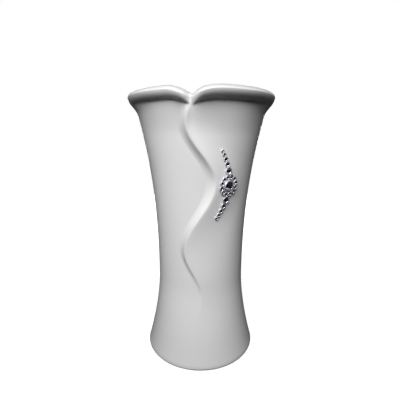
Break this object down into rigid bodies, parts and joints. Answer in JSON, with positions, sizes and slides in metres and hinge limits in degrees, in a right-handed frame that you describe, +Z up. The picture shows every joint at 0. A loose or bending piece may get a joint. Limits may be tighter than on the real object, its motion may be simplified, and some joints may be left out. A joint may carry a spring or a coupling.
{
  "type": "porcelain vase",
  "caption": "Tall waisted porcelain flower vase with a rolled notched lip, a wavy wrapped fold down its front and a jewel of set stones beside it.",
  "frame": {"origin": "middle of the foot ring, on the table", "axes": "+Z up along the vase's axis, -Y towards the viewer, where the notch and the fold are, +X to the right"},
  "size_m": [0.1297, 0.1368, 0.24],
  "materials": {
    "porcelain": "satin white glaze",
    "silver": "bright silver plate",
    "crystal": "cut and foil-backed",
    "adhesive": "clear set glue"
  },
  "bodies": {
    "root": {"vase_body": "porcelain", "centre_bezel": "silver", "centre_stone": "crystal", "halo_setting": "silver", "halo_stone_01": "crystal", "halo_stone_02": "crystal", "halo_stone_03": "crystal", "halo_stone_04": "crystal", "halo_stone_05": "crystal", "halo_stone_06": "crystal", "halo_stone_07": "crystal", "halo_stone_08": "crystal", "halo_stone_09": "crystal", "halo_stone_10": "crystal", "halo_stone_11": "crystal", "halo_stone_12": "crystal", "upper_cup_1": "silver", "upper_cup_2": "silver", "upper_cup_3": "silver", "upper_cup_4": "silver", "upper_cup_5": "silver", "upper_stone_1": "crystal", "upper_stone_2": "crystal", "upper_stone_3": "crystal", "upper_stone_4": "crystal", "upper_stone_5": "crystal", "lower_cup_1": "silver", "lower_cup_2": "silver", "lower_cup_3": "silver", "lower_cup_4": "silver", "lower_cup_5": "silver", "lower_stone_1": "crystal", "lower_stone_2": "crystal", "lower_stone_3": "crystal", "lower_stone_4": "crystal", "lower_stone_5": "crystal", "rosette_adhesive": "adhesive", "tail_adhesive": "adhesive"}
  },
  "joints": []
}
